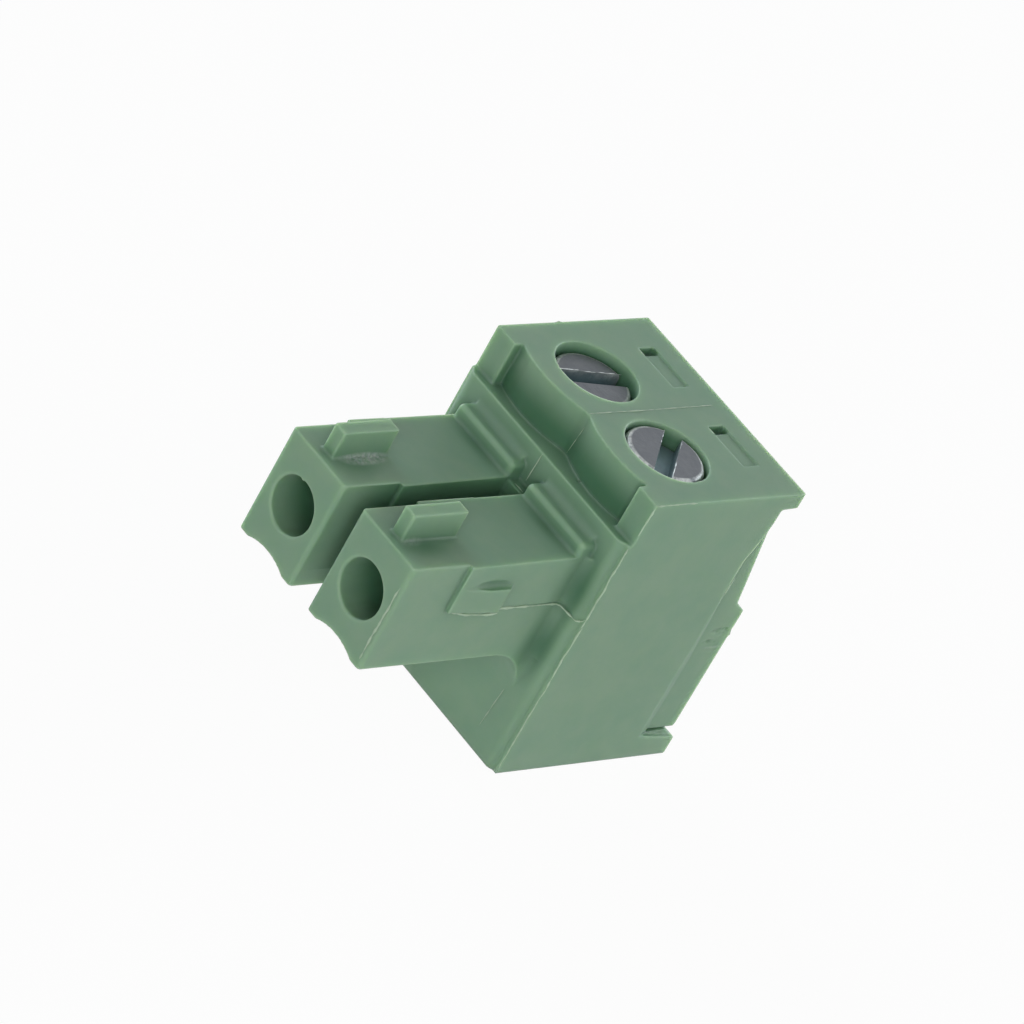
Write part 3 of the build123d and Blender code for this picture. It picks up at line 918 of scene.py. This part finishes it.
def sweep(bm, points, radius, wander, seed):
    look = flashLook
    rand = random.Random(seed)
    path = [Vector(p) * mm for p in points]
    spots = []
    for start, end in zip(path, path[1:]):
        count = max(1, int((end - start).length / (look["step"] * mm)))
        spots += [start.lerp(end, i / count) for i in range(count)]
    spots.append(path[-1])
    shift = Vector((rand.uniform(0, 90), rand.uniform(0, 90), rand.uniform(0, 90)))
    plain, lumpy = look["lumps"]
    sides, taper, tip, last = look["sides"], look["taperSteps"], look["tipStep"], len(spots) - 1
    loops = []
    for i, spot in enumerate(spots):
        ahead = (spots[min(i + 1, last)] - spots[max(i - 1, 0)]).normalized()
        across = ahead.orthogonal().normalized()
        over = ahead.cross(across)
        wave = noise.noise_vector(spot / (look["wanderSize"] * mm) + shift)
        size = radius * mm * (plain + lumpy * noise.noise(spot / (look["lumpSize"] * mm) + shift))
        size *= min(1.0, (i + tip) / taper, (last - i + tip) / taper)
        size = max(size, look["leastShare"] * radius * mm)
        centre = spot + (wave - ahead * wave.dot(ahead)) * wander * mm
        ring = []
        for side in range(sides):
            turn = 2 * math.pi * side / sides
            ring.append(bm.verts.new(centre + (across * math.cos(turn) + over * math.sin(turn)) * size))
        loops.append(ring)
    for lower, upper in zip(loops, loops[1:]):
        for side in range(sides):
            after = (side + 1) % sides
            bm.faces.new((lower[side], lower[after], upper[after], upper[side]))
    bm.faces.new(list(reversed(loops[0])))
    bm.faces.new(loops[-1])


def sweptMesh(name, lines, firstSeed):
    bm = bmesh.new()
    for seed, (points, radius, wander) in enumerate(lines):
        sweep(bm, points, radius, wander, firstSeed + seed)
    mesh = bpy.data.meshes.new(name)
    bm.to_mesh(mesh)
    bm.free()
    mesh.shade_smooth()
    return mesh


newPiece("mouldFlash", sweptMesh("mouldFlash", flashLook["lines"], 0), thinPolyamide, "plug")
print("mould flash ready")

# thin burrs along the slots' edges
burrLook = {
    "outset": 0.01,                 # from the slot's edge
    "sunk": 0.6,                    # share of the radius
    "wander": 0.012,
    "burrs": {
        # side of the slot, start, end, radius
        1: [(1, -1.35, -0.2, 0.024), (1, -0.2, 0.35, 0.04), (1, 0.35, 1.35, 0.02)],
        2: [(1, 0.3, 1.3, 0.018), (-1, -1.3, -0.1, 0.017), (-1, -0.1, 1.2, 0.01)],
    },
}
for number, burrs in burrLook["burrs"].items():
    low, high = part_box(f"screw_{number}")
    turn = math.radians(screwLook["slotTurn"][number])
    along = Vector((math.cos(turn), math.sin(turn), 0))
    across = Vector((-math.sin(turn), math.cos(turn), 0))
    middle = Vector(((low.x + high.x) / 2, (low.y + high.y) / 2, high.z)) / mm
    lines = []
    for side, start, end, radius in burrs:
        reach = screwLook["slotWidth"] / 2 + burrLook["outset"]
        edge = middle + across * (screwLook["slotShift"][number] + side * reach)
        edge.z -= burrLook["sunk"] * radius
        lines.append(([edge + along * start, edge + along * end], radius, burrLook["wander"]))
    name = f"slotBurr_{number}"
    newPiece(name, sweptMesh(name, lines, 50 + 10 * number), wornHighlitZinc, f"screw_{number}")
print("screws ready")

# studio: plain floor, soft lamps and a white surround
studio = {
    "floorSize": 3000,
    "floorColor": (0.86, 0.86, 0.86),
    "floorWhite": 0.95,         # share of plain white seen by the camera
    "ambient": 0.13,
    "lampDistance": 300,
    "lampSize": 160,
    "lamps": {
        # azimuth and elevation from the object, light on a face turned to it, tint
        "frontLamp": (-52, 22, 0.6, (1.0, 0.97, 0.93)),
        "sideLamp": (45, 26, 0.2, (1.0, 0.98, 0.95)),
        "rearLamp": (90, 13, 0.46, (0.87, 0.97, 1.0)),
        "leftLamp": (180, 13, 0.66, (0.86, 0.98, 1.0)),
    },
}

floorMesh = bpy.data.meshes.new("floor")
half = studio["floorSize"] * mm / 2
corners = [(-half, -half, 0), (half, -half, 0), (half, half, 0), (-half, half, 0)]
floorMesh.from_pydata(corners, [], [(0, 1, 2, 3)])
floor = bpy.data.objects.new("floor", floorMesh)
scene.collection.objects.link(floor)


def seenRays(tree):
    rays = addNode(tree, "LightPath", {}).outputs
    seen = calc(tree, "MAXIMUM", rays["Is Camera Ray"], rays["Is Glossy Ray"])
    return calc(tree, "MAXIMUM", seen, rays["Is Transmission Ray"])


paper = bpy.data.materials.new("paleFloor")
paper.use_nodes = True
tree = paper.node_tree
shader = tree.nodes["Principled BSDF"]
shader.inputs["Base Color"].default_value = (*studio["floorColor"], 1)
shader.inputs["Roughness"].default_value = 0.9
shader.inputs["Specular IOR Level"].default_value = 0.0
white = addNode(tree, "Emission", {"Color": (1, 1, 1, 1), "Strength": 1.0})
share = calc(tree, "MULTIPLY", seenRays(tree), studio["floorWhite"])
blend = addNode(tree, "MixShader", {0: share, 1: shader.outputs[0], 2: white.outputs[0]})
tree.links.new(blend.outputs[0], tree.nodes["Material Output"].inputs["Surface"])
floorMesh.materials.append(paper)

world = bpy.data.worlds.new("studio")
scene.world = world
world.use_nodes = True
tree = world.node_tree
seen = seenRays(tree)
level = calc(tree, "ADD", calc(tree, "MULTIPLY", seen, 1 - studio["ambient"]), studio["ambient"])
sky = tree.nodes["Background"]
sky.inputs["Color"].default_value = (1, 1, 1, 1)
tree.links.new(level, sky.inputs["Strength"])

middlePoint = (cadBox[0] + cadBox[1]) / 2
distance = studio["lampDistance"] * mm
for name, (azimuth, elevation, strength, tint) in studio["lamps"].items():
    data = bpy.data.lights.new(name, "AREA")
    data.shape = "SQUARE"
    data.size = studio["lampSize"] * mm
    data.energy = strength * math.pi * math.pi * distance ** 2
    data.color = tint
    turn, rise = math.radians(azimuth), math.radians(elevation)
    away = Vector((math.cos(turn) * math.cos(rise), math.sin(turn) * math.cos(rise), math.sin(rise)))
    light = bpy.data.objects.new(name, data)
    light.location = middlePoint + away * distance
    light.rotation_euler = (-away).to_track_quat("-Z", "Y").to_euler()
    scene.collection.objects.link(light)
print("studio ready")

# camera at the photograph's viewing angle
view = {
    "lens": 218.861,
    "location": (97.6347, -136.6101, 102.6169),
    "turn": (56.6864, -25.7537, 51.5339),
}
cameraData = bpy.data.cameras.new("camera")
cameraData.lens = view["lens"]
cameraData.sensor_width = 36
cameraData.clip_start = 0.01
camera = bpy.data.objects.new("camera", cameraData)
camera.location = Vector(view["location"]) * mm
camera.rotation_euler = [math.radians(angle) for angle in view["turn"]]
scene.collection.objects.link(camera)
scene.camera = camera
scene.view_settings.view_transform = "Standard"
